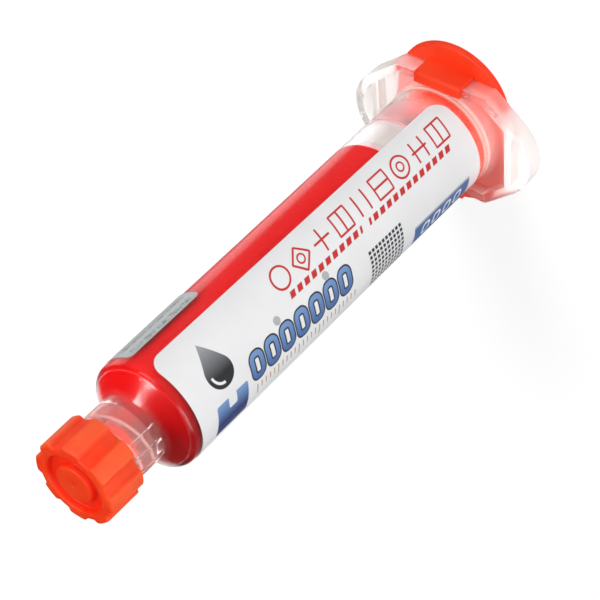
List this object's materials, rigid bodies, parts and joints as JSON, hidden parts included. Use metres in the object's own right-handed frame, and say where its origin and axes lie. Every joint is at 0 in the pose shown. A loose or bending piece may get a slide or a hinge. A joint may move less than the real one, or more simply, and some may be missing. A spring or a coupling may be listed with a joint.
{
  "type": "solder mask syringe",
  "caption": "Capped syringe of red UV solder mask paste: clear barrel with eared flange and lock collar, wiper piston, lobed tip cap, clipped end cap and labels.",
  "frame": {"origin": "centre of the end cap's flat back, which the syringe stands on", "axes": "+Z along the syringe towards the capped outlet, X along the flange's ears, Y along the end cap's clips"},
  "size_m": [0.0338, 0.0306, 0.0952],
  "materials": {
    "clear_polypropylene": "milky clear, smooth moulded",
    "orange_plastic": "satin moulded",
    "white_polyethylene": "waxy, slightly translucent",
    "red_paste": "wet and glossy",
    "white_label": "coated, printed",
    "grey_label": "silver-grey, printed"
  },
  "bodies": {
    "barrel": {"barrel": "clear_polypropylene", "end_cap": "orange_plastic", "paste": "red_paste", "wrap_label": "white_label", "batch_label": "grey_label"},
    "piston": {"piston": "white_polyethylene"},
    "tip_cap": {"tip_cap": "orange_plastic"}
  },
  "joints": [
    {"name": "piston_slide", "type": "slide", "parent": "barrel", "child": "piston", "axis": [0, 0, 1], "range_m": [0, 0.057], "deforming": ["paste"]},
    {"name": "tip_cap_off", "type": "slide", "parent": "barrel", "child": "tip_cap", "axis": [0, 0, 1], "range_m": [0, 0.02]}
  ]
}
